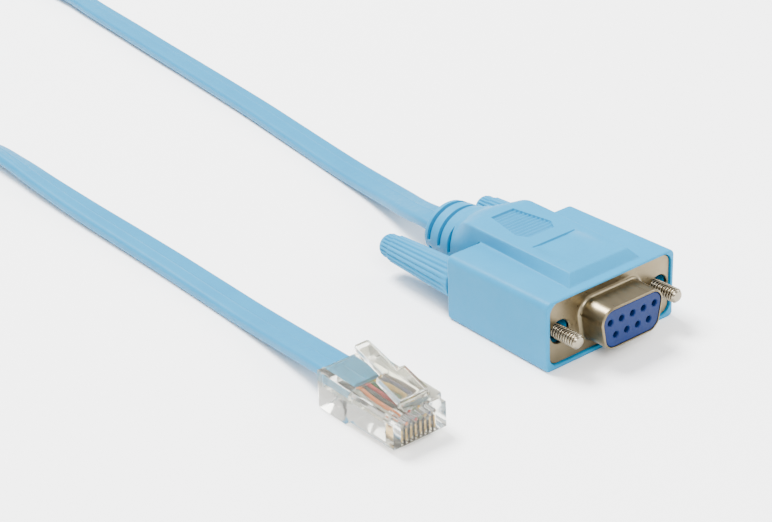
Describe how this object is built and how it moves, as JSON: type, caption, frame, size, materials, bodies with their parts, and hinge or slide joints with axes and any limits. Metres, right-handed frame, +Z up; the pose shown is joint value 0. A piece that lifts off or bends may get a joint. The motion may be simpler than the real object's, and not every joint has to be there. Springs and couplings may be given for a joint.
{
  "type": "rj45 console cable",
  "caption": "Flat console cable with a hooded D-sub socket connector at one end and a clear modular plug at the other.",
  "frame": {"origin": "on the surface it lies on, under the middle of the hooded connector with its screws and grips", "axes": "+X across the connectors, -Y the way both connectors mate, +Z up"},
  "size_m": [0.138, 0.2779, 0.0162],
  "materials": {
    "pvc_hood": "soft moulded PVC, satin",
    "pvc_cable": "extruded PVC jacket, satin",
    "steel_plate": "tin plated pressed steel",
    "screw_nickel": "nickel plated",
    "insulator_blue": "moulded glass-filled plastic",
    "gold": "gold plated",
    "clear_plastic": "clear polycarbonate",
    "core_white": "core insulation",
    "core_orange": "core insulation",
    "core_black": "core insulation",
    "core_red": "core insulation",
    "core_green": "core insulation",
    "core_yellow": "core insulation",
    "core_blue": "core insulation",
    "core_brown": "core insulation"
  },
  "bodies": {
    "root": {"db9_hood": "pvc_hood", "db9_shell": "steel_plate", "db9_insulator": "insulator_blue", "contact_socket_1": "gold", "contact_socket_2": "gold", "contact_socket_3": "gold", "contact_socket_4": "gold", "contact_socket_5": "gold", "contact_socket_6": "gold", "contact_socket_7": "gold", "contact_socket_8": "gold", "contact_socket_9": "gold", "plug_housing": "clear_plastic", "plug_contact_1": "gold", "plug_contact_2": "gold", "plug_contact_3": "gold", "plug_contact_4": "gold", "plug_contact_5": "gold", "plug_contact_6": "gold", "plug_contact_7": "gold", "plug_contact_8": "gold", "wire_1": "core_white", "wire_2": "core_orange", "wire_3": "core_black", "wire_4": "core_red", "wire_5": "core_green", "wire_6": "core_yellow", "wire_7": "core_blue", "wire_8": "core_brown", "cable_run_db9": "pvc_cable", "cable_run_plug": "pvc_cable", "cable_coil": "pvc_cable"},
    "thumbscrew_left": {"jackscrew_left": "screw_nickel", "thumb_grip_left": "pvc_hood"},
    "thumbscrew_right": {"jackscrew_right": "screw_nickel", "thumb_grip_right": "pvc_hood"},
    "latch": {"plug_latch": "clear_plastic"}
  },
  "joints": [
    {"name": "thumbscrew_left_turn", "type": "hinge", "parent": "root", "child": "thumbscrew_left", "pos_m": [-0.01249, -0.02191, 0.00705], "axis": [0, -0.9998, 0.0175], "continuous": true},
    {"name": "thumbscrew_right_turn", "type": "hinge", "parent": "root", "child": "thumbscrew_right", "pos_m": [0.01249, -0.02191, 0.00705], "axis": [0, -0.9998, 0.0175], "continuous": true},
    {"name": "latch_press", "type": "hinge", "parent": "root", "child": "latch", "pos_m": [-0.0475, -0.02291, 0.0079], "axis": [-1, 0, 0], "range_deg": [0, 14], "stiffness_Nm_per_rad": 0.05}
  ]
}
